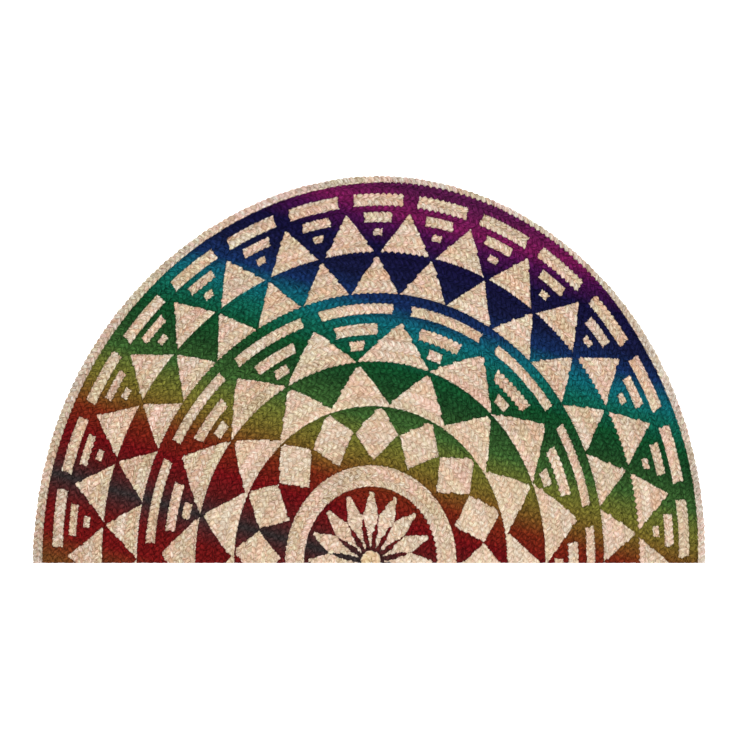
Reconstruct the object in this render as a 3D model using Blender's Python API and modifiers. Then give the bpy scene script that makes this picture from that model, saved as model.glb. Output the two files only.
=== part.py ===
"""Half-round doormat of hand-plaited jute.

One flat plait is wound round a hub, each turn sewn to the last, and the round is cut straight
across just below the hub, so the mat shows half turns that gain half a row's width from their
right end to their left.  The field is one slab with a rib for each row and a domed hub.  The
outermost row, left undyed, is a solid of its own with the slanted lobes of its plait.
Metres, +Z up, the underside on Z = 0, the straight edge along X and the arc towards +Y.
"""

import bmesh
import bpy
from math import atan2, cos, hypot, pi, radians, sin, tau

# Driving dimensions of the whole mat
EDGE_RADIUS = 0.3478    # from the hub to the edge, measured along the straight edge to the right
DEPTH = 0.4025          # from the straight edge to the top of the arc
THICKNESS = 0.0072      # over the crests of the plaits
HUB_ABOVE_CUT = 0.0008  # the cut passes just below the hub

# The rows
ROWS = 32               # from the hub to the edge, the last one undyed
HUB_RADIUS = 0.0096     # the turned-in start of the plait
GROOVE_DEPTH = 0.0022   # how deep the seam between two rows lies
RIB_SHOULDER = 0.27     # where a rib reaches its full height, as a share of the row's width
SEAM_GAP = 0.0003       # between the field and the outermost row

# How the round departs from a true coil, as lengths added to its radius at the edge
LEAN = 0.0035           # fuller to the upper right, leaner to the upper left
SHOULDERS = 0.0006      # fuller just right of the top and near the left end
HAND_WOBBLE = 0.0005    # unevenness of hand sewing
WOBBLE_WAVES = 6        # how often it comes round

# The outermost plait
LOBES_PER_TURN = 372    # slanted lobes on each side, counted round a full turn
STEPS_PER_LOBE = 2
LOBE_HEIGHT = 0.0014    # how far a lobe stands above the dip beside it
LOBE_REACH = 0.0009     # how far a lobe stands out past the dip at the edge
EDGE_UNDERCUT = 0.0006  # how far the underside lies inside the edge

# Facets
FIELD_STEPS = 88        # round a full turn
OUTLINE_STEPS = 720     # for finding the mat's box
SMOOTH_ANGLE = 50       # degrees, for shading
MERGE = 0.00001

# Colours and finish
UNDYED_JUTE = (0.60, 0.47, 0.31, 1.0)
DYED_JUTE = (0.20, 0.13, 0.08, 1.0)
ROUGHNESS = 0.9

ROW_WIDTH = (EDGE_RADIUS - HUB_RADIUS) / ROWS
GROOVE_Z = THICKNESS - GROOVE_DEPTH
FIELD_RADIUS = EDGE_RADIUS - ROW_WIDTH - SEAM_GAP / 2
RIM_INNER_RADIUS = EDGE_RADIUS - ROW_WIDTH + SEAM_GAP / 2


def reach(radius, angle):
    """How far from the hub a point of the coil lies at this angle, before the rise."""
    turn = angle / tau * min(radius, ROW_WIDTH)
    swell = LEAN * sin(2 * angle) - SHOULDERS * sin(4 * angle) - HAND_WOBBLE * cos(WOBBLE_WAVES * angle)
    return radius + turn + (radius / EDGE_RADIUS) ** 2 * swell


def outline():
    """Reach and angle of points along the arc, from the right end to the left."""
    angles = [pi * step / OUTLINE_STEPS for step in range(OUTLINE_STEPS + 1)]
    return [(reach(EDGE_RADIUS, angle), angle) for angle in angles]


# The mat stands a little taller than a true half round of its width
RISE = (DEPTH - HUB_ABOVE_CUT) / max(length * sin(angle) for length, angle in outline())


def on_mat(radius, angle):
    """Where a point of the coil lies, with the hub at the origin."""
    length = reach(radius, angle)
    return length * cos(angle), RISE * length * sin(angle)


def hub_place():
    """Where the hub lies when the mat's box is centred on the origin."""
    across = [length * cos(angle) for length, angle in outline()]
    return -(max(across) + min(across)) / 2, HUB_ABOVE_CUT - DEPTH / 2


def row_start(row):
    """Inner radius of a row; row 0 is the one round the hub."""
    return HUB_RADIUS + row * ROW_WIDTH


def empty_scene():
    for item in list(bpy.data.objects):
        bpy.data.objects.remove(item, do_unlink=True)


def jute_material(name, colour):
    material = bpy.data.materials.new(name)
    material.use_nodes = True
    shader = material.node_tree.nodes["Principled BSDF"]
    shader.inputs["Base Color"].default_value = colour
    shader.inputs["Roughness"].default_value = ROUGHNESS
    shader.inputs["Metallic"].default_value = 0.0
    material.diffuse_color = colour
    return material


def turned(name, profile, steps, closed):
    """A profile of (radius, height) pairs turned a full circle about Z, as a new bmesh."""
    edges = [(index, index + 1) for index in range(len(profile) - 1)]
    if closed:
        edges.append((len(profile) - 1, 0))
    line = bpy.data.meshes.new(name + "_profile")
    line.from_pydata([(radius, 0.0, height) for radius, height in profile], edges, [])
    guide = bpy.data.objects.new(name + "_profile", line)
    bpy.context.scene.collection.objects.link(guide)
    screw = guide.modifiers.new("turn", "SCREW")
    screw.angle = tau
    screw.steps = steps
    screw.render_steps = steps
    screw.use_merge_vertices = True
    screw.merge_threshold = MERGE
    evaluated = guide.evaluated_get(bpy.context.evaluated_depsgraph_get())
    mesh = bpy.data.meshes.new_from_object(evaluated)
    shape = bmesh.new()
    shape.from_mesh(mesh)
    bmesh.ops.remove_doubles(shape, verts=shape.verts[:], dist=MERGE)
    bpy.data.objects.remove(guide, do_unlink=True)
    bpy.data.meshes.remove(mesh)
    return shape


def polar(place):
    """Radius and angle of a turned point, with the angle's jump straight below the hub."""
    angle = atan2(place.y, place.x)
    if angle < -pi / 2:
        angle += tau
    return hypot(place.x, place.y), angle


def cut_straight(shape):
    """Cuts the round along the straight edge and closes the cut."""
    cut = bmesh.ops.bisect_plane(
        shape,
        geom=shape.verts[:] + shape.edges[:] + shape.faces[:],
        dist=MERGE,
        plane_co=(0.0, -HUB_ABOVE_CUT, 0.0),
        plane_no=(0.0, -1.0, 0.0),
        clear_outer=True,
    )
    ends = [item for item in cut["geom_cut"] if isinstance(item, bmesh.types.BMEdge)]
    bmesh.ops.contextual_create(shape, geom=ends)
    bmesh.ops.recalc_face_normals(shape, faces=shape.faces[:])


def add_piece(name, shape, material, collection):
    """Puts a cut shape in its place on the mat as an object of its own."""
    bmesh.ops.translate(shape, verts=shape.verts[:], vec=(*hub_place(), 0.0))
    mesh = bpy.data.meshes.new(name)
    shape.to_mesh(mesh)
    shape.free()
    mesh.materials.append(material)
    mesh.shade_smooth()
    mesh.set_sharp_from_angle(angle=radians(SMOOTH_ANGLE))
    piece = bpy.data.objects.new(name, mesh)
    collection.objects.link(piece)


def braided_field(collection):
    """The hub and every row but the last as one slab: ribs on top, flat below."""
    profile = [(0.0, THICKNESS), (HUB_RADIUS * (1 - RIB_SHOULDER), THICKNESS), (HUB_RADIUS, GROOVE_Z)]
    for row in range(ROWS - 1):
        inner = row_start(row)
        profile.append((inner + RIB_SHOULDER * ROW_WIDTH, THICKNESS))
        profile.append((inner + (1 - RIB_SHOULDER) * ROW_WIDTH, THICKNESS))
        profile.append((min(inner + ROW_WIDTH, FIELD_RADIUS), GROOVE_Z))
    profile += [(FIELD_RADIUS, 0.0), (0.0, 0.0)]
    shape = turned("braided_field", profile, FIELD_STEPS, closed=False)
    for vert in shape.verts:
        vert.co.x, vert.co.y = on_mat(*polar(vert.co))
    cut_straight(shape)
    add_piece("braided_field", shape, jute_material("dyed_jute", DYED_JUTE), collection)


def rim_braid(collection):
    """The outermost row, with lobes that alternate between its inner and its outer side."""
    crests = (RIM_INNER_RADIUS + RIB_SHOULDER * ROW_WIDTH, EDGE_RADIUS - RIB_SHOULDER * ROW_WIDTH)
    middle = (RIM_INNER_RADIUS + EDGE_RADIUS) / 2
    dip = THICKNESS - LOBE_HEIGHT
    profile = [
        (RIM_INNER_RADIUS, GROOVE_Z),
        (crests[0], THICKNESS),
        (middle, dip),
        (crests[1], THICKNESS),
        (EDGE_RADIUS, THICKNESS / 2),
        (EDGE_RADIUS - EDGE_UNDERCUT, 0.0),
        (RIM_INNER_RADIUS, 0.0),
    ]
    steps = LOBES_PER_TURN * STEPS_PER_LOBE
    shape = turned("rim_braid", profile, steps, closed=True)
    for vert in shape.verts:
        radius, angle = polar(vert.co)
        outer_lobe = round(angle / tau * steps) % STEPS_PER_LOBE == 0
        on_crest = vert.co.z > dip + MERGE
        if on_crest and (radius > middle) != outer_lobe:
            vert.co.z -= LOBE_HEIGHT
        if radius > EDGE_RADIUS - MERGE and not outer_lobe:
            radius -= LOBE_REACH
        vert.co.x, vert.co.y = on_mat(radius, angle)
    cut_straight(shape)
    add_piece("rim_braid", shape, jute_material("undyed_jute", UNDYED_JUTE), collection)


def main():
    empty_scene()
    mat = bpy.data.collections.new("half_round_doormat")
    bpy.context.scene.collection.children.link(mat)
    braided_field(mat)
    rim_braid(mat)


main()
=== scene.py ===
"""Half-round doormat of hand-plaited jute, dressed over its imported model.

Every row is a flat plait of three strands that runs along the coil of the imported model, and is cut
flush at the straight edge.  The ornament is dyed into the finished mat: each motif is straight
sided, repeats round the hub, and leaves the jute its own colour, while the dye between the motifs
runs through the rainbow.  Metres, with the underside on Z = 0 and the arc towards +Y.
"""

from collections import namedtuple
from math import ceil, hypot, pi, radians, sqrt, tau

import bpy
import numpy as np
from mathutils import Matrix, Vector


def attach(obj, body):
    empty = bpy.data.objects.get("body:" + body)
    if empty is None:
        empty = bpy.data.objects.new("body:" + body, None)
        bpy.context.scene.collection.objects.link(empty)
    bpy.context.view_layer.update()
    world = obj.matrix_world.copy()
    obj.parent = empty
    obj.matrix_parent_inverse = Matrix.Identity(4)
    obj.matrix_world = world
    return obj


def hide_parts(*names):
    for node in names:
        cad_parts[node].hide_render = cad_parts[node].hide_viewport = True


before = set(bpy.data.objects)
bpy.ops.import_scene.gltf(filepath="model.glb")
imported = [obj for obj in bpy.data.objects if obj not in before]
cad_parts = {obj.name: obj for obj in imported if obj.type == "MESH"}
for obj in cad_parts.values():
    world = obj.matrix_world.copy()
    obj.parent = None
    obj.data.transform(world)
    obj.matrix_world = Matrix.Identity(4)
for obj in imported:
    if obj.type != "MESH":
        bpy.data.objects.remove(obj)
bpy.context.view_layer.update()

# The mat's sizes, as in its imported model
EDGE_RADIUS = 0.3478
DEPTH = 0.4025
THICKNESS = 0.0072
HUB_ABOVE_CUT = 0.0008
ROWS = 32
HUB_RADIUS = 0.0096
LEAN = 0.0035
SHOULDERS = 0.0006
HAND_WOBBLE = 0.0005
WOBBLE_WAVES = 6
ROW_WIDTH = (EDGE_RADIUS - HUB_RADIUS) / ROWS
MID_HEIGHT = THICKNESS / 2
STRAIGHT_EDGE = -DEPTH / 2
OUTLINE_STEPS = 720         # for finding the mat's box
ROW_STEPS = 4000            # for measuring along a row
SLIGHT = 0.00001            # points less than this apart are in the same place

# The rows of the field that are joined as one piece each; row -1 is the plait's turned-in start
RowGroup = namedtuple("RowGroup", "name first last")
FIELD_ROWS = (
    RowGroup("petal_rows", -1, 7),
    RowGroup("kite_rows", 8, 12),
    RowGroup("first_triangle_rows", 13, 16),
    RowGroup("second_triangle_rows", 17, 22),
    RowGroup("third_triangle_rows", 23, 26),
    RowGroup("fourth_triangle_rows", 27, ROWS - 2),
)

# One plait
STRANDS = 3
PLAIT_PERIOD = 0.01875      # length in which a strand crosses over and back
PACE = tau / PLAIT_PERIOD
STRAND_HALF_WIDTH = 0.00245
STRAND_HALF_HEIGHT = 0.0017
STRAND_SIDES = 8
RINGS_PER_PERIOD = 14
RING_STEP = PLAIT_PERIOD / RINGS_PER_PERIOD
RINGS_MERGE = 0.0001        # of a ring step, within which rings of points are joined
ROWS_PRESS = 0.00008        # by which sewn rows press against each other
SWING = ROW_WIDTH / 2 - STRAND_HALF_WIDTH + ROWS_PRESS   # sideways
LIFT = MID_HEIGHT - STRAND_HALF_HEIGHT                   # over and under the other two
LIFT_ROUNDNESS = 0.6        # the less, the flatter a strand's run over and under the others
SKIN_ROUNDNESS = 0.9        # the less, the flatter its own top and bottom
LOBE_MIDDLE = 0.25          # of half a period, where a strand lies on top of the other two
LEAST_RADIUS = 0.0001       # that a point keeps from the hub's middle
RUN_PAST_CUT = 0.009        # before a row is cut
MOST_PAST_CUT = 1.2         # radians, for the rows close to the hub
CUT_FACING = -0.99          # a cut face points at least this far down the mat
YARN_TWIST = tau / 0.028    # turn of the fibres round their strand, for each metre

# Each strand's skin laid out flat for its baked colours: one long run, folded into strips
SKIN_MAP = "OFBake"         # the name of the map for the baked colours
CORNERS = 4                 # of each face of a skin
STRIP_HEIGHT = 9            # round a strand and the gap beside it, in ring steps
STRIP_GAP = 0.07            # share of a strip left free, so that colours don't run into the next
END_LENGTH = 6              # of a strip for each cut end, in ring steps
RING_LENGTH = 0.00157       # of one ring step along a strand's winding skin

# Unevenness of hand work
CHANCE_SEED = 20
SHARED_SEED = 7             # for what the strands of a row share
TENSION_LENGTH = 0.045
TENSION_SPREAD = 0.35       # radians by which a crossing comes early or late
GIRTH_LENGTH = 0.012
GIRTH_SPREAD = 0.05         # share by which a strand is fuller or leaner
STRAY = 0.00014             # how far a strand wanders from its path
TONE_LENGTH = 0.035         # over which a row turns paler, pinker or yellower

# The ground of inner strands and sewing between the rows
GROUND_TOP = 0.0043
GROUND_THICKNESS = 0.0014
GROUND_RIB = 0.0004
GROUND_STEPS_PER_ROW = 4
GROUND_STEPS_ROUND = 200
GROUND_SMOOTH_ANGLE = 40
GROUND_SHADE_TONE = (0.15, 0.5, 0.5)   # painted shade: darker than the strands over it

# The ornament's own centre and stretch, a little off the coil's
PRINT_CENTRE = (0.002, -0.2005)
PRINT_REACH = 0.344
PRINT_EDGE = 0.3425
PRINT_HUB_RISE = 1.11       # how much taller it is than a true round
PRINT_EDGE_RISE = 1.15
PRINT_LEAN = 0.0055         # to the upper right at its edge
PRINT_SLIP = -0.0025        # to the right at its edge
PRINT_TURN = 1.0025         # turn of the print for each turn round the mat
ROUNDS_TO_SETTLE = 2        # of working out a radius from its own share
LOBE_TAKES_UP_DYE = 0.3     # how much of an edge steps from lobe to lobe, not straight

Pull = namedtuple("Pull", "name side height reach right up")
# Where the print is pulled out of true: the middle and the reach of each pull, and its shift to the
# right and up, in millimetres
PRINT_PULLS = (
    Pull("top", -60, 190, 180, 3.5, 0.0),
    Pull("right of the middle", 90, 60, 130, 0.0, 2.2),
    Pull("left of the middle", -90, -40, 130, 0.0, 2.0),
    Pull("right side", 190, -50, 100, 0.0, 1.5),
    Pull("left side", -210, -90, 80, 0.0, 0.5),
    Pull("right shoulder", 295, 30, 100, -2.0, 0.0),
    Pull("left end", -330, -215, 70, 3.0, 0.0),
    Pull("left foot", -220, -215, 90, 2.0, 0.0),
)

Motif = namedtuple("Motif", "name count centred twist outline")
# Count in a full round; the place of one in degrees; twist in radians for each metre outwards; the
# outline as radius and half width, in millimetres
MOTIFS = (
    Motif("petal stems", 16, 92.0, -1.5, ((14, 0.5), (24, 2))),
    Motif("petals", 16, 90.8, -1.2, ((20.5, 0.5), (43.5, 8.5), (64, 1.5))),
    Motif("kites", 16, 87.5, -0.8, ((93.5, 0.5), (119.5, 22.5), (140.5, 2))),
    Motif("first triangles", 15, 94.8, 0.0, ((142.5, 32.5), (178, 2.5))),
    Motif("second triangles", 15, 82.8, -0.4, ((183, 37.5), (217.5, 1.5))),
    Motif("second squares", 15, 94.8, 0.0, ((193, 7), (201, 7.5))),
    Motif("second short bars", 15, 94.8, 0.0, ((206.5, 21), (216.5, 23))),
    Motif("second long bars", 15, 94.5, 0.0, ((226, 37.5), (235, 39.5))),
    Motif("third triangles", 30, 89.6, -0.2, ((244, 24.5), (277.5, 0.5))),
    Motif("fourth triangles", 30, 95.4, 0.0, ((281, 26), (315, 0.5))),
    Motif("fourth squares", 30, 101.4, 0.0, ((295.5, 4.5), (301.5, 5))),
    Motif("fourth short bars", 30, 101.4, 0.0, ((308, 14.5), (316, 14.5))),
    Motif("fourth long bars", 30, 101.4, 0.0, ((322, 26), (332.5, 26))),
)
Band = namedtuple("Band", "name inner outer")
PLAIN_RING = Band("plain ring", 69.5, 89)
BANDS = (
    Band("hub", -5, 10),
    PLAIN_RING,
    Band("undyed edge", PRINT_EDGE * 1000, 400),
)

# The dye's run, from the lower left to the top
DYE_TILT = radians(16)
DYE_SPAN = 0.35
DYE_ORIGIN = (0.002, -0.1965)
DYE_START = -0.28
DYE_END = 1.12

Stop = namedtuple("Stop", "name place red green blue")
# Places along the run are shares of its span; colours are as seen on screen, 0 to 255
DYE_STOPS = (
    Stop("brown", -0.26, 110, 65, 30),
    Stop("crimson", -0.18, 115, 20, 20),
    Stop("dark crimson", -0.10, 105, 20, 20),
    Stop("slate", -0.015, 50, 45, 45),
    Stop("wine", 0.055, 95, 25, 25),
    Stop("red", 0.12, 110, 15, 20),
    Stop("rust", 0.20, 115, 40, 20),
    Stop("olive", 0.29, 115, 100, 40),
    Stop("moss", 0.33, 110, 110, 45),
    Stop("leaf", 0.40, 60, 95, 45),
    Stop("green", 0.49, 30, 70, 35),
    Stop("deep green", 0.56, 15, 75, 40),
    Stop("teal", 0.63, 15, 95, 80),
    Stop("petrol", 0.68, 15, 100, 110),
    Stop("blue", 0.74, 20, 45, 90),
    Stop("navy", 0.80, 20, 25, 60),
    Stop("indigo", 0.90, 20, 15, 55),
    Stop("plum", 0.965, 70, 15, 70),
    Stop("magenta", 1.01, 115, 25, 80),
    Stop("purple", 1.09, 85, 25, 70),
)
STRAW_STOPS = (
    Stop("shaded fibre", 0.0, 140, 111, 88),
    Stop("dull straw", 0.25, 187, 163, 144),
    Stop("straw", 0.5, 211, 190, 173),
    Stop("pale straw", 0.75, 228, 211, 195),
    Stop("palest fibre", 1.0, 248, 237, 223),
)
PINK_STOPS = (
    Stop("least pink", 0.0, 243, 250, 240),
    Stop("between", 0.5, 253, 250, 243),
    Stop("pinkest", 1.0, 255, 237, 230),
)
YELLOW_STOPS = (
    Stop("least yellow", 0.0, 252, 249, 255),
    Stop("yellowest", 1.0, 255, 252, 240),
)
CUT_STOPS = (
    # painted shade: darkest between the cut fibres, where the relief dips
    Stop("between fibres", 0.0, 120, 90, 62),
    Stop("fibre", 0.5, 196, 163, 128),
    Stop("pale fibre", 1.0, 226, 198, 164),
)
BROWN_STRETCH = (200, 160, 124)
BROWN_FLECK = (150, 112, 78)
PALE_JUTE = (246, 229, 205)
# painted shade for the edge row, which makes it darker and greyer
EDGE_ROW_SHADE = (241, 247, 255)
HUB_JUTE = (214, 184, 128)
POOLED_DYE = (8, 6, 8)

# What each kind of unevenness adds to a tone's start value
# the yarns and fibre also raise the relief, so the jute is darker in its hollows: painted shade,
# beside the fibres' own tone
JUTE_LIGHTNESS_AND_HOLLOW_SHADE = {"start": -0.9, "lobe": 0.15, "row": 0.072, "yarns": 2.1, "fibre": 0.6}
JUTE_PINKNESS = {"start": -1.675, "lobe": -0.35, "row": 0.38, "drift": 4.4}
JUTE_YELLOWNESS = {"start": -1.45, "row": 0.36, "lightness": -0.2, "drift": 3.8}
# the same for the dye: darker in the relief's hollows, as painted shade beside the dye's own tone
DYE_LIGHTNESS_AND_HOLLOW_SHADE = {"start": -1.03, "lobe": 0.15, "yarns": 2.9, "fibre": 0.9}
# the cells darken the gaps between the cut fibres, which is painted shade
CUT_LIGHTNESS_AND_GAP_SHADE = {"start": 0.55, "cells": -0.6, "patches": 0.5}
JUTE_RELIEF = {"start": 0.0, "fibre": 0.4, "yarns": 1.0}

# Repeats of a pattern for each metre along a strand and across it
YARN_GRAIN = (300.0, 800.0, 800.0)
FIBRE_GRAIN = (320.0, 1900.0, 1900.0)
PINK_GRAIN = (60.0, 260.0, 260.0)
YELLOW_GRAIN = (45.0, 210.0, 210.0)
STRETCH_GRAIN = (7.0, 60.0, 60.0)
CUT_CELLS = 2600.0          # fibres for each metre of a cut end
CUT_PATCHES = 260.0
GRAIN_ORIGINS = 10          # how far apart the strands' own grains start

Fade = namedtuple("Fade", "low high start end")
# Between low and high of what it follows, each goes evenly from its start to its end
STRETCH_FADE = Fade(0.54, 0.7, 0.0, 0.4)            # browner, along a strand
FLECK_FADE = Fade(0.92, 1.0, 0.0, 0.5)              # the few lobes with a brown fleck
INNER_FADE = Fade(0.170, 0.195, 0.12, 0.0)          # paler, by the radius
RING_FADE = Fade(-0.001, 0.001, 1.0, 0.0)           # but not in the plain ring
RIGHT_FADE = Fade(0.1, 0.7, 0.12, 0.0)              # paler, by the angle from the right end
# where the edge row's painted shade falls: past the print's edge
EDGE_ROW_SHADE_FADE = Fade(PRINT_EDGE, PRINT_EDGE + 0.001, 0.0, 1.0)
HUB_FADE = Fade(0.0085, 0.0105, 0.4, 0.0)
BARE_FADE = Fade(-0.00035, 0.00035, 0.0, 1.0)       # from the dye into the undyed jute
POOL_FADE = Fade(-0.0016, -0.0004, 1.0, 0.78)       # dye stands a little darker at its edge
SOAK_FADE = Fade(0.0012, 0.0030, 0.25, 1.0)         # by the height over the floor
JUTE_ROUGHNESS = Fade(0.3, 0.7, 0.78, 0.95)
CUT_ROUGHNESS = Fade(0.3, 0.7, 0.85, 0.97)
FRAY = 0.0016               # how far the yarns carry the dye to and fro over a motif's edge
Bump = namedtuple("Bump", "strength depth")
JUTE_BUMP = Bump(1.0, 0.0008)
CUT_BUMP = Bump(0.9, 0.0004)
JUTE_GLOSS = 0.04
CUT_GLOSS = 0.2

# The studio
FLOOR_WIDTH = 60
FLOOR_COLOUR = (0.92, 0.92, 0.92, 1.0)
FLOOR_ROUGHNESS = 0.8
FLOOR_GLOSS = 0.1
FLOOR_GLOW = 0.7            # so that it stays as pale as the photo's under the lamp
WHITE = (1.0, 1.0, 1.0, 1.0)
ROOM_LIGHT = 0.72
LAMP_PLACE = (0.12, 0.1, 2.6)
LAMP_WIDTH = 1.2
LAMP_POWER = 46
LENS = 85
SENSOR_WIDTH = 36
SEEN_WIDTH = 0.7669
CAMERA_PLACE = (-0.001, 0.0014, SEEN_WIDTH * LENS / SENSOR_WIDTH)


def reach(radius, angle):
    """How far from the hub points of the coil lie, before the rise."""
    turn = angle / tau * np.minimum(radius, ROW_WIDTH)
    swell = LEAN * np.sin(2 * angle) - SHOULDERS * np.sin(4 * angle)
    swell = swell - HAND_WOBBLE * np.cos(WOBBLE_WAVES * angle)
    return radius + turn + (radius / EDGE_RADIUS) ** 2 * swell


OUTLINE_ANGLES = np.linspace(0, pi, OUTLINE_STEPS + 1)
OUTLINE_REACH = reach(EDGE_RADIUS, OUTLINE_ANGLES)
OUTLINE_ACROSS = OUTLINE_REACH * np.cos(OUTLINE_ANGLES)
RISE = (DEPTH - HUB_ABOVE_CUT) / (OUTLINE_REACH * np.sin(OUTLINE_ANGLES)).max()
HUB_X = -(OUTLINE_ACROSS.max() + OUTLINE_ACROSS.min()) / 2
HUB_Y = HUB_ABOVE_CUT + STRAIGHT_EDGE


def on_mat(radius, angle):
    """Where points of the coil lie on the mat."""
    length = reach(radius, angle)
    return HUB_X + length * np.cos(angle), HUB_Y + RISE * length * np.sin(angle)


def from_print_centre(x, y):
    """How far points lie from the print's centre, with the pulls on the print taken off."""
    across = x - PRINT_CENTRE[0]
    up = y - PRINT_CENTRE[1]
    for pull in PRINT_PULLS:
        off = np.hypot(x * 1000 - pull.side, y * 1000 - pull.height) / pull.reach
        near = np.exp(-off**2) / 1000
        across = across - pull.right * near
        up = up - pull.up * near
    return across, up


def dye_share(place):
    """A place along the dye's run as a share of it, 0 to 1."""
    return (place - DYE_START) / (DYE_END - DYE_START)


def print_place(x, y):
    """The ornament's radius, its angle and the dye's place at points of the mat."""
    across, up = from_print_centre(x, y)
    radius = np.hypot(across, up / PRINT_EDGE_RISE)
    for _ in range(ROUNDS_TO_SETTLE):
        share = radius / PRINT_REACH
        rise = PRINT_HUB_RISE + (PRINT_EDGE_RISE - PRINT_HUB_RISE) * share
        angle = np.arctan2(up / rise, across)
        lean = PRINT_LEAN * share**2 * np.sin(2 * angle)
        slip = PRINT_SLIP * share * np.cos(angle)
        radius = np.hypot(across, up / rise) - lean - slip
    angle = np.where(angle < -pi / 2, angle + tau, angle) * PRINT_TURN
    run = (x - DYE_ORIGIN[0]) * np.sin(DYE_TILT) + (y - DYE_ORIGIN[1]) * np.cos(DYE_TILT)
    return np.stack([radius, angle, dye_share(run / DYE_SPAN)], axis=1)


def linear(red, green, blue):
    """A colour as seen on screen, 0 to 255, as light."""
    seen = np.array([red, green, blue]) / 255
    light = np.where(seen <= 0.04045, seen / 12.92, ((seen + 0.055) / 1.055) ** 2.4)
    return (*light.tolist(), 1.0)


def add_node(tree, kind, **settings):
    made = tree.nodes.new("ShaderNode" + kind)
    for name, value in settings.items():
        setattr(made, name, value)
    return made


def feed(tree, socket, value):
    """Links a socket to another or sets it to a plain value."""
    if isinstance(value, bpy.types.NodeSocket):
        tree.links.new(value, socket)
    else:
        socket.default_value = value


def calculate(tree, operation, *values):
    made = add_node(tree, "Math", operation=operation)
    for socket, value in zip(made.inputs, values):
        feed(tree, socket, value)
    return made.outputs[0]


def weighed(tree, weights, **sources):
    """A start value, plus each source times its weight."""
    total = weights["start"]
    for name, source in sources.items():
        total = calculate(tree, "MULTIPLY_ADD", source, weights[name], total)
    return total


def split(tree, vector):
    made = add_node(tree, "SeparateXYZ")
    feed(tree, made.inputs[0], vector)
    return made.outputs


def attribute(tree, name):
    return add_node(tree, "Attribute", attribute_name=name).outputs["Vector"]


def noise(tree, vector, scale, detail=2.0, roughness=0.5):
    made = add_node(tree, "TexNoise")
    feed(tree, made.inputs["Vector"], vector)
    made.inputs["Scale"].default_value = scale
    made.inputs["Detail"].default_value = detail
    made.inputs["Roughness"].default_value = roughness
    return made.outputs["Fac"]


def grain(tree, strand_place, repeats, detail, roughness=0.5):
    """Noise that is drawn out along a strand."""
    made = add_node(tree, "Mapping", vector_type="POINT")
    feed(tree, made.inputs["Vector"], strand_place)
    made.inputs["Scale"].default_value = repeats
    return noise(tree, made.outputs[0], 1.0, detail, roughness)


def faded(tree, value, fade, shape="LINEAR"):
    made = add_node(tree, "MapRange", interpolation_type=shape)
    names = ("Value", "From Min", "From Max", "To Min", "To Max")
    for name, given in zip(names, (value, *fade)):
        feed(tree, made.inputs[name], given)
    return made.outputs[0]


def colour_ramp(tree, value, stops):
    made = add_node(tree, "ValToRGB")
    feed(tree, made.inputs[0], value)
    band = made.color_ramp
    while len(band.elements) < len(stops):
        band.elements.new(1.0)
    for element, stop in zip(band.elements, stops):
        element.position = stop.place
        element.color = linear(stop.red, stop.green, stop.blue)
    return made.outputs[0]


def mixed(tree, share, first, second, blend="MIX"):
    """A mix of two colours, which are a Mix node's sockets 6 and 7."""
    made = add_node(tree, "Mix", data_type="RGBA", blend_type=blend)
    feed(tree, made.inputs[0], share)
    feed(tree, made.inputs[6], first)
    feed(tree, made.inputs[7], second)
    return made.outputs[2]


def start_material(name):
    material = bpy.data.materials.new(name)
    material.use_nodes = True
    return material, material.node_tree, material.node_tree.nodes["Principled BSDF"]


def give_relief(tree, shader, height, bump):
    made = add_node(tree, "Bump")
    made.inputs["Strength"].default_value = bump.strength
    made.inputs["Distance"].default_value = bump.depth
    feed(tree, made.inputs["Height"], height)
    feed(tree, shader.inputs["Normal"], made.outputs[0])


def between(tree, radius, inner, outer):
    """How deep a point lies between two radii given in millimetres."""
    past = calculate(tree, "SUBTRACT", radius, inner / 1000)
    short = calculate(tree, "SUBTRACT", outer / 1000, radius)
    return calculate(tree, "MINIMUM", past, short)


def beside_motif_middle(tree, motif, radius, angle):
    """How far a point lies sideways from the middle line of the nearest repeat of a motif."""
    middle = (motif.outline[0][0] + motif.outline[-1][0]) / 2 / 1000
    untwisted = calculate(tree, "MULTIPLY_ADD", radius, -motif.twist, angle)
    turned = calculate(tree, "SUBTRACT", untwisted, radians(motif.centred) - motif.twist * middle)
    off_centre = calculate(tree, "PINGPONG", turned, pi / motif.count)
    return calculate(tree, "MULTIPLY", off_centre, radius)


def inside_motif(tree, motif, radius, angle):
    """How deep a point lies inside a motif, in metres; below zero outside it."""
    sideways = beside_motif_middle(tree, motif, radius, angle)
    depth = between(tree, radius, motif.outline[0][0], motif.outline[-1][0])
    for (inner, inner_half), (outer, outer_half) in zip(motif.outline, motif.outline[1:]):
        slope = (outer_half - inner_half) / (outer - inner)
        square_on = 1 / hypot(1, slope)
        narrowed = calculate(tree, "MULTIPLY", sideways, -square_on)
        start = (inner_half - slope * inner) / 1000
        half_width = calculate(tree, "MULTIPLY_ADD", radius, slope * square_on, start * square_on)
        depth = calculate(tree, "MINIMUM", depth, calculate(tree, "ADD", half_width, narrowed))
    return depth


def depth_in_undyed(tree, radius, angle):
    """How deep a point lies inside what stays undyed, in metres; below zero in the dye."""
    depths = [inside_motif(tree, motif, radius, angle) for motif in MOTIFS]
    depths += [between(tree, radius, band.inner, band.outer) for band in BANDS]
    deepest = depths[0]
    for depth in depths[1:]:
        deepest = calculate(tree, "MAXIMUM", deepest, depth)
    return deepest


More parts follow.
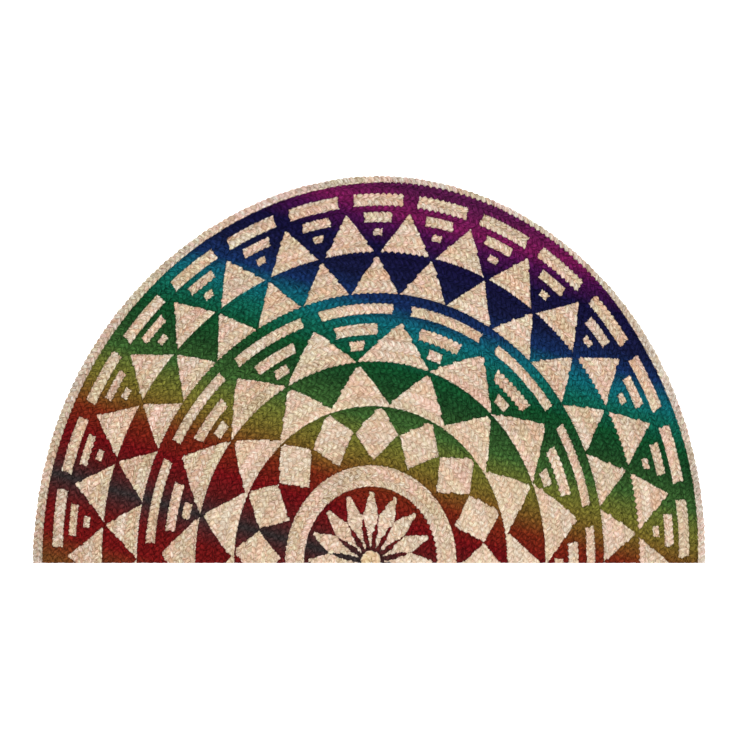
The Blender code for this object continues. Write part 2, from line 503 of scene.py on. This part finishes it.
def natural_jute(tree, strand_place, tone, yarns, fibre):
    """Straw colour that changes along each row, from lobe to lobe and from yarn to yarn, and darker
    where the yarns and fibre lower the relief, which is painted shade.
    """
    lobe_light, lobe_hue, lobe_fleck = split(tree, tone)
    row_light, row_pink, row_yellow = split(tree, attribute(tree, "row_tone"))
    # painted shade: darker where the yarns and fibre lower the relief
    level = weighed(
        tree, JUTE_LIGHTNESS_AND_HOLLOW_SHADE, lobe=lobe_light, row=row_light, yarns=yarns, fibre=fibre,
    )
    straw = colour_ramp(tree, level, STRAW_STOPS)
    drift = grain(tree, strand_place, PINK_GRAIN, detail=2.0)
    pink = weighed(tree, JUTE_PINKNESS, lobe=lobe_hue, row=row_pink, drift=drift)
    straw = mixed(tree, 1.0, straw, colour_ramp(tree, pink, PINK_STOPS), "MULTIPLY")
    drift = grain(tree, strand_place, YELLOW_GRAIN, detail=2.0)
    yellow = weighed(tree, JUTE_YELLOWNESS, row=row_yellow, lightness=row_light, drift=drift)
    straw = mixed(tree, 1.0, straw, colour_ramp(tree, yellow, YELLOW_STOPS), "MULTIPLY")
    stretch = grain(tree, strand_place, STRETCH_GRAIN, detail=1.0)
    straw = mixed(tree, faded(tree, stretch, STRETCH_FADE), straw, linear(*BROWN_STRETCH))
    return mixed(tree, faded(tree, lobe_fleck, FLECK_FADE), straw, linear(*BROWN_FLECK))


def tinted_by_place(tree, jute, radius, angle):
    """Paler jute in the inner motifs and at the right end, painted shade that makes the edge row
    darker and greyer, and a yellower hub.
    """
    off_ring = faded(tree, between(tree, radius, PLAIN_RING.inner, PLAIN_RING.outer), RING_FADE)
    inner = calculate(tree, "MULTIPLY", faded(tree, radius, INNER_FADE), off_ring)
    paler = calculate(tree, "ADD", inner, faded(tree, angle, RIGHT_FADE))
    jute = mixed(tree, paler, jute, linear(*PALE_JUTE))
    # painted shade: the edge row is darkened and greyed
    jute = mixed(tree, faded(tree, radius, EDGE_ROW_SHADE_FADE), jute, linear(*EDGE_ROW_SHADE), "MULTIPLY")
    return mixed(tree, faded(tree, radius, HUB_FADE), jute, linear(*HUB_JUTE))


def dyed_jute(tree, dye_place, tone, yarns, fibre):
    """The dye's colour at its place, lighter and darker from lobe to lobe and from yarn to yarn, and
    darker where the yarns and fibre lower the relief, which is painted shade.
    """
    stops = [stop._replace(place=dye_share(stop.place)) for stop in DYE_STOPS]
    dye = colour_ramp(tree, dye_place, stops)
    # painted shade: darker where the yarns and fibre lower the relief
    level = weighed(tree, DYE_LIGHTNESS_AND_HOLLOW_SHADE, lobe=split(tree, tone)[0], yarns=yarns, fibre=fibre)
    shade = add_node(tree, "CombineColor")
    for socket in shade.inputs:
        feed(tree, socket, level)
    return mixed(tree, 1.0, dye, shade.outputs[0], "MULTIPLY")


def share_of_dye(tree, frayed):
    """How much dye a point has taken up: none in the motifs, and little towards the underside."""
    bare = faded(tree, frayed, BARE_FADE, "SMOOTHSTEP")
    height = split(tree, add_node(tree, "TexCoord").outputs["Object"])[2]
    soaked = faded(tree, height, SOAK_FADE)
    return calculate(tree, "MULTIPLY", calculate(tree, "SUBTRACT", 1.0, bare), soaked)


def printed_jute():
    """Plaited jute with the ornament's dye on it."""
    material, tree, shader = start_material("printed_jute")
    strand_place = attribute(tree, "strand_place")
    tone = attribute(tree, "lobe_tone")
    yarns = grain(tree, strand_place, YARN_GRAIN, detail=1.0)
    fibre = grain(tree, strand_place, FIBRE_GRAIN, detail=2.0, roughness=0.6)
    radius, angle, dye_place = split(tree, attribute(tree, "ornament_place"))
    jute = natural_jute(tree, strand_place, tone, yarns, fibre)
    jute = tinted_by_place(tree, jute, radius, angle)
    depth = depth_in_undyed(tree, radius, angle)
    frayed = calculate(tree, "MULTIPLY_ADD", calculate(tree, "SUBTRACT", yarns, 0.5), FRAY, depth)
    dye = dyed_jute(tree, dye_place, tone, yarns, fibre)
    dye = mixed(tree, faded(tree, frayed, POOL_FADE, "SMOOTHSTEP"), linear(*POOLED_DYE), dye)
    feed(tree, shader.inputs["Base Color"], mixed(tree, share_of_dye(tree, frayed), jute, dye))
    feed(tree, shader.inputs["Roughness"], faded(tree, fibre, JUTE_ROUGHNESS))
    give_relief(tree, shader, weighed(tree, JUTE_RELIEF, fibre=fibre, yarns=yarns), JUTE_BUMP)
    shader.inputs["Specular IOR Level"].default_value = JUTE_GLOSS
    return material


def cut_jute():
    """The ends of the strands at the straight edge: the cut fibres, seen end on, darker in the gaps
    between them as painted shade.
    """
    material, tree, shader = start_material("cut_jute_ends")
    place = add_node(tree, "TexCoord").outputs["Object"]
    cells = add_node(tree, "TexVoronoi")
    feed(tree, cells.inputs["Vector"], place)
    cells.inputs["Scale"].default_value = CUT_CELLS
    patches = noise(tree, place, CUT_PATCHES)
    # painted shade between the cut fibres, beside their own patchy tone
    level = weighed(tree, CUT_LIGHTNESS_AND_GAP_SHADE, cells=cells.outputs["Distance"], patches=patches)
    feed(tree, shader.inputs["Base Color"], colour_ramp(tree, level, CUT_STOPS))
    feed(tree, shader.inputs["Roughness"], faded(tree, patches, CUT_ROUGHNESS))
    give_relief(tree, shader, level, CUT_BUMP)
    shader.inputs["Specular IOR Level"].default_value = CUT_GLOSS
    return material


def only(piece):
    """Makes one object the selected, active one."""
    bpy.ops.object.select_all(action="DESELECT")
    piece.select_set(True)
    bpy.context.view_layer.objects.active = piece


def points_of(mesh):
    flat = np.empty(len(mesh.vertices) * 3)
    mesh.vertices.foreach_get("co", flat)
    return flat.reshape(-1, 3)


def place_points(mesh, x, y, z):
    mesh.vertices.foreach_set("co", np.stack([x, y, z], axis=1).ravel())
    mesh.update()


def keep_vectors(mesh, name, vectors):
    """Stores a vector for each point, for the materials to read."""
    layer = mesh.attributes.new(name, "FLOAT_VECTOR", "POINT")
    layer.data.foreach_set("vector", vectors.astype(np.float32).ravel())


def straight_strand(rings):
    """An open tube of unit radius along +X, a ring of points at every whole number."""
    bpy.ops.object.select_all(action="DESELECT")
    bpy.ops.mesh.primitive_cylinder_add(
        vertices=STRAND_SIDES, radius=1, depth=1, end_fill_type="NOTHING",
        location=(0.5, 0, 0), rotation=(0, pi / 2, 0),
    )
    strand = bpy.context.object
    bpy.ops.object.transform_apply(location=True, rotation=True, scale=True)
    length = strand.modifiers.new("length", "ARRAY")
    length.count = rings - 1
    length.relative_offset_displace = (1, 0, 0)
    length.use_merge_vertices = True
    length.merge_threshold = RINGS_MERGE
    length.offset_v = 1
    bpy.ops.object.modifier_apply(modifier="length")
    strand.data.uv_layers[0].name = SKIN_MAP
    return strand


def row_radius(row):
    """The middle of a row."""
    if row < 0:
        return HUB_RADIUS / 2
    return HUB_RADIUS + (row + 0.5) * ROW_WIDTH


def row_angles(row):
    """Angles along a row and the length to each, from past one cut to past the other."""
    radius = row_radius(row)
    past = min(RUN_PAST_CUT / radius, MOST_PAST_CUT)
    angles = np.linspace(-past, pi + past, ROW_STEPS)
    x, y = on_mat(radius, angles)
    lengths = np.concatenate([[0.0], np.cumsum(np.hypot(np.diff(x), np.diff(y)))])
    return lengths, angles


def row_rings(row):
    """How many rings of points a strand of this row has."""
    return ceil(row_angles(row)[0][-1] / PLAIT_PERIOD * RINGS_PER_PERIOD)


def row_place(row, along, out):
    """Where points lie on the mat that are given along a row and outwards from its middle."""
    radius = np.maximum(row_radius(row) + out, LEAST_RADIUS)
    return on_mat(radius, np.interp(along, *row_angles(row)))


Strips = namedtuple("Strips", "length count")


def strips_for(rows):
    """How long the strips are and how many, so that the strands of these rows fill a square."""
    strands = STRANDS * len(rows)
    run = STRANDS * sum(row_rings(row) for row in rows) + END_LENGTH * (2 * strands + 1)
    length = END_LENGTH * ceil(sqrt(run * STRIP_HEIGHT) / END_LENGTH)
    return Strips(length, ceil(run / length))


def lay_flat(strand, run_start, strips):
    """Folds a straight strand's skin into its strips; its own map already goes round and along."""
    layer = strand.data.uv_layers[SKIN_MAP].uv
    flat = np.empty(len(layer) * 2, np.float32)
    layer.foreach_get("vector", flat)
    around, along = flat.reshape(-1, 2).T
    ring = np.floor(along.reshape(-1, CORNERS).mean(axis=1)).repeat(CORNERS)
    strip, at = np.divmod(run_start + ring, strips.length)
    across = (at + along - ring) / strips.length
    up = (strip + STRIP_GAP / 2 + around * (1 - STRIP_GAP)) / strips.count
    layer.foreach_set("vector", np.stack([across, up], axis=1).astype(np.float32).ravel())


def uneven(along, spread, wavelength, chance):
    """A slow, random run of values along a strand."""
    knots = chance.normal(0, spread, int(along.max() / wavelength) + 3)
    return np.interp(along / wavelength, np.arange(len(knots)), knots)


def shared_by_row(row, along):
    """What the strands of a row share: how early or late they cross, and the jute's slow tones."""
    chance = np.random.default_rng([CHANCE_SEED, row + 1, SHARED_SEED])
    tension = uneven(along, TENSION_SPREAD, TENSION_LENGTH, chance)
    tones = [uneven(along, 1.0, TONE_LENGTH, chance) for _ in range(3)]
    return tension, np.stack(tones, axis=1)


def flattened(wave, roundness):
    """Broadens the crests of a wave between -1 and 1."""
    return wave / np.hypot(wave, roundness) * np.hypot(1, roundness)


def lobe_middles(along, phase):
    """The number of the lobe that each point is in, and where that lobe's middle lies."""
    lobe = np.floor(phase / pi + LOBE_MIDDLE)
    lobe_phase = pi * (lobe + LOBE_MIDDLE)
    return lobe.astype(int), along - (phase - lobe_phase) / PACE, SWING * np.sin(lobe_phase)


def twisted_fibres(rest, along):
    """A strand's points as its twisted fibres see them: along and across the strand."""
    turn = YARN_TWIST * along
    across = rest[:, 1] * np.cos(turn) - rest[:, 2] * np.sin(turn)
    through = rest[:, 1] * np.sin(turn) + rest[:, 2] * np.cos(turn)
    return np.stack([along, across * STRAND_HALF_WIDTH, through * STRAND_HALF_WIDTH], axis=1)


def shape_strand(strand, row, order, first_phase, chance):
    """Bends a straight strand over and under the other two of its plait, then round the coil."""
    rest = points_of(strand.data)
    along = rest[:, 0] * RING_STEP
    tension, row_tone = shared_by_row(row, along)
    phase = tau * (along / PLAIT_PERIOD + order / STRANDS) + first_phase + tension
    narrow = 1.0 if row >= 0 else HUB_RADIUS / ROW_WIDTH
    girth = 1 + uneven(along, GIRTH_SPREAD, GIRTH_LENGTH, chance)
    across = SWING * np.sin(phase) + uneven(along, STRAY, GIRTH_LENGTH, chance)
    slant = SWING * np.cos(phase) * PACE
    sidestep = rest[:, 1] * STRAND_HALF_WIDTH * girth / np.hypot(1, slant)
    at = along - sidestep * slant
    out = (across + sidestep) * narrow
    up = MID_HEIGHT + LIFT * flattened(np.sin(2 * phase), LIFT_ROUNDNESS)
    up = up + flattened(rest[:, 2], SKIN_ROUNDNESS) * STRAND_HALF_HEIGHT * girth
    place_points(strand.data, *row_place(row, at, out), np.clip(up, 0.0, THICKNESS))
    lobe, lobe_at, lobe_out = lobe_middles(along, phase)
    dye_at = at + (lobe_at - at) * LOBE_TAKES_UP_DYE
    dye_out = out + (lobe_out * narrow - out) * LOBE_TAKES_UP_DYE
    lobe_tones = chance.random((lobe.max() + 2, 3))
    fibres = twisted_fibres(rest, along) + chance.random(3) * GRAIN_ORIGINS
    keep_vectors(strand.data, "strand_place", fibres)
    keep_vectors(strand.data, "lobe_tone", lobe_tones[lobe])
    keep_vectors(strand.data, "row_tone", row_tone)
    keep_vectors(strand.data, "ornament_place", print_place(*row_place(row, dye_at, dye_out)))


def cut_flush(piece):
    """Cuts away what lies past the straight edge and closes the cut."""
    only(piece)
    bpy.ops.object.mode_set(mode="EDIT")
    bpy.ops.mesh.select_all(action="SELECT")
    bpy.ops.mesh.bisect(
        plane_co=(0, STRAIGHT_EDGE, 0), plane_no=(0, -1, 0), use_fill=True, clear_outer=True,
    )
    bpy.ops.mesh.select_all(action="SELECT")
    bpy.ops.mesh.normals_make_consistent(inside=False)
    bpy.ops.object.mode_set(mode="OBJECT")


def finish_cut_ends(piece, run_start, strips):
    """Gives the cut faces their own material, and a place in the map after the strands' skins."""
    layer = piece.data.uv_layers[SKIN_MAP].uv
    run = END_LENGTH * ceil(run_start / END_LENGTH)
    for face in piece.data.polygons:
        if face.normal.y > CUT_FACING or face.center.y > STRAIGHT_EDGE + SLIGHT:
            continue
        face.material_index = 1
        face.use_smooth = False
        strip, at = divmod(run, strips.length)
        run += END_LENGTH
        for corner, vertex in zip(face.loop_indices, face.vertices):
            place = (piece.data.vertices[vertex].co - face.center) / RING_LENGTH
            across = (at + END_LENGTH / 2 + place.x) / strips.length
            up = (strip + 0.5 + place.z / STRIP_HEIGHT) / strips.count
            layer[corner].vector = (across, up)


def plaited_row(row, run_start, strips):
    """The strands of one row, cut at the straight edge."""
    chance = np.random.default_rng([CHANCE_SEED, row + 1])
    first_phase = chance.random() * tau
    rings = row_rings(row)
    strands = []
    for order in range(STRANDS):
        strand = straight_strand(rings)
        lay_flat(strand, run_start + order * rings, strips)
        shape_strand(strand, row, order, first_phase, chance)
        cut_flush(strand)
        strands.append(strand)
    return strands


def joined(strands, name):
    bpy.ops.object.select_all(action="DESELECT")
    for strand in strands:
        strand.select_set(True)
    bpy.context.view_layer.objects.active = strands[0]
    bpy.ops.object.join()
    piece = bpy.context.object
    piece.name = name
    piece.data.name = name
    return piece


def plaited_rows(group, finish, ends):
    """The rows of a group as one piece of plaited strands."""
    rows = range(group.first, group.last + 1)
    strips = strips_for(rows)
    strands = []
    run = 0
    for row in rows:
        strands += plaited_row(row, run, strips)
        run += STRANDS * row_rings(row)
    piece = joined(strands, group.name)
    bpy.ops.object.shade_smooth()
    piece.data.materials.append(finish)
    piece.data.materials.append(ends)
    finish_cut_ends(piece, run, strips)
    return piece


def ribbed_sheet():
    """A sheet under the rows that rises a little at each seam between them."""
    bpy.ops.object.select_all(action="DESELECT")
    bpy.ops.mesh.primitive_grid_add(
        x_subdivisions=ROWS * GROUND_STEPS_PER_ROW, y_subdivisions=GROUND_STEPS_ROUND, size=2,
    )
    sheet = bpy.context.object
    rest = points_of(sheet.data)
    radius = (rest[:, 0] + 1) / 2 * (EDGE_RADIUS - ROW_WIDTH / 2)
    past = np.minimum(RUN_PAST_CUT / np.maximum(radius, LEAST_RADIUS), MOST_PAST_CUT)
    angle = -past + (rest[:, 1] + 1) / 2 * (pi + 2 * past)
    x, y = on_mat(radius, angle)
    rib = GROUND_RIB * np.cos((radius - HUB_RADIUS) / ROW_WIDTH * tau)
    place_points(sheet.data, x, y, GROUND_TOP + rib - GROUND_RIB)
    only(sheet)
    bpy.ops.object.mode_set(mode="EDIT")
    bpy.ops.mesh.select_all(action="SELECT")
    bpy.ops.mesh.remove_doubles(threshold=SLIGHT)
    bpy.ops.object.mode_set(mode="OBJECT")
    return sheet


def sewn_ground(finish):
    """The inner strands and sewing that close the spaces between the lobes, tinted darker as painted
    shade.
    """
    ground = ribbed_sheet()
    ground.name = "sewn_ground"
    ground.data.name = "sewn_ground"
    if ground.data.polygons[0].normal.z < 0:
        ground.data.flip_normals()
    thick = ground.modifiers.new("thickness", "SOLIDIFY")
    thick.thickness = GROUND_THICKNESS
    thick.offset = -1
    bpy.ops.object.modifier_apply(modifier="thickness")
    cut_flush(ground)
    bpy.ops.object.shade_smooth_by_angle(angle=radians(GROUND_SMOOTH_ANGLE))
    places = points_of(ground.data)
    keep_vectors(ground.data, "strand_place", places)
    # painted shade: the ground takes a darker lobe tone than the strands over it
    keep_vectors(ground.data, "lobe_tone", np.tile(GROUND_SHADE_TONE, (len(places), 1)))
    keep_vectors(ground.data, "row_tone", np.zeros((len(places), 3)))
    keep_vectors(ground.data, "ornament_place", print_place(places[:, 0], places[:, 1]))
    ground.data.materials.append(finish)
    return ground


def doormat():
    """Every piece of the mat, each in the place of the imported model's node that it replaces."""
    printed = printed_jute()
    ends = cut_jute()
    field = [plaited_rows(group, printed, ends) for group in FIELD_ROWS]
    edge_row = plaited_rows(RowGroup("edge_row", ROWS - 1, ROWS - 1), printed, ends)
    ground = sewn_ground(printed)
    for piece in (*field, ground):
        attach(piece, "root")
        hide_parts("braided_field")
    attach(edge_row, "root")
    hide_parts("rim_braid")


def floor():
    """A plain pale floor, far wider than the mat."""
    bpy.ops.object.select_all(action="DESELECT")
    bpy.ops.mesh.primitive_plane_add(size=FLOOR_WIDTH, location=(0, 0, 0))
    ground = bpy.context.object
    ground.name = "floor"
    material, _, shader = start_material("pale_floor")
    shader.inputs["Base Color"].default_value = FLOOR_COLOUR
    shader.inputs["Roughness"].default_value = FLOOR_ROUGHNESS
    shader.inputs["Specular IOR Level"].default_value = FLOOR_GLOSS
    shader.inputs["Emission Color"].default_value = WHITE
    shader.inputs["Emission Strength"].default_value = FLOOR_GLOW
    ground.data.materials.append(material)


def camera():
    """Straight above the mat, with the arc towards the top of the picture."""
    data = bpy.data.cameras.new("camera")
    data.lens = LENS
    data.sensor_width = SENSOR_WIDTH
    eye = bpy.data.objects.new("camera", data)
    eye.location = CAMERA_PLACE
    bpy.context.scene.collection.objects.link(eye)
    bpy.context.scene.camera = eye


def overhead_lamp():
    """A wide soft box above the mat, turned towards its middle."""
    data = bpy.data.lights.new("overhead", "AREA")
    data.shape = "SQUARE"
    data.size = LAMP_WIDTH
    data.energy = LAMP_POWER
    lamp = bpy.data.objects.new("overhead", data)
    lamp.location = LAMP_PLACE
    lamp.rotation_mode = "QUATERNION"
    lamp.rotation_quaternion = (-Vector(LAMP_PLACE)).to_track_quat("-Z", "Y")
    bpy.context.scene.collection.objects.link(lamp)


def studio_light():
    """Even white light from all round, and the lamp."""
    world = bpy.data.worlds.new("studio")
    world.use_nodes = True
    back = world.node_tree.nodes["Background"]
    back.inputs["Color"].default_value = WHITE
    back.inputs["Strength"].default_value = ROOM_LIGHT
    bpy.context.scene.world = world
    overhead_lamp()
    bpy.context.scene.view_settings.view_transform = "Standard"


doormat()
floor()
camera()
studio_light()
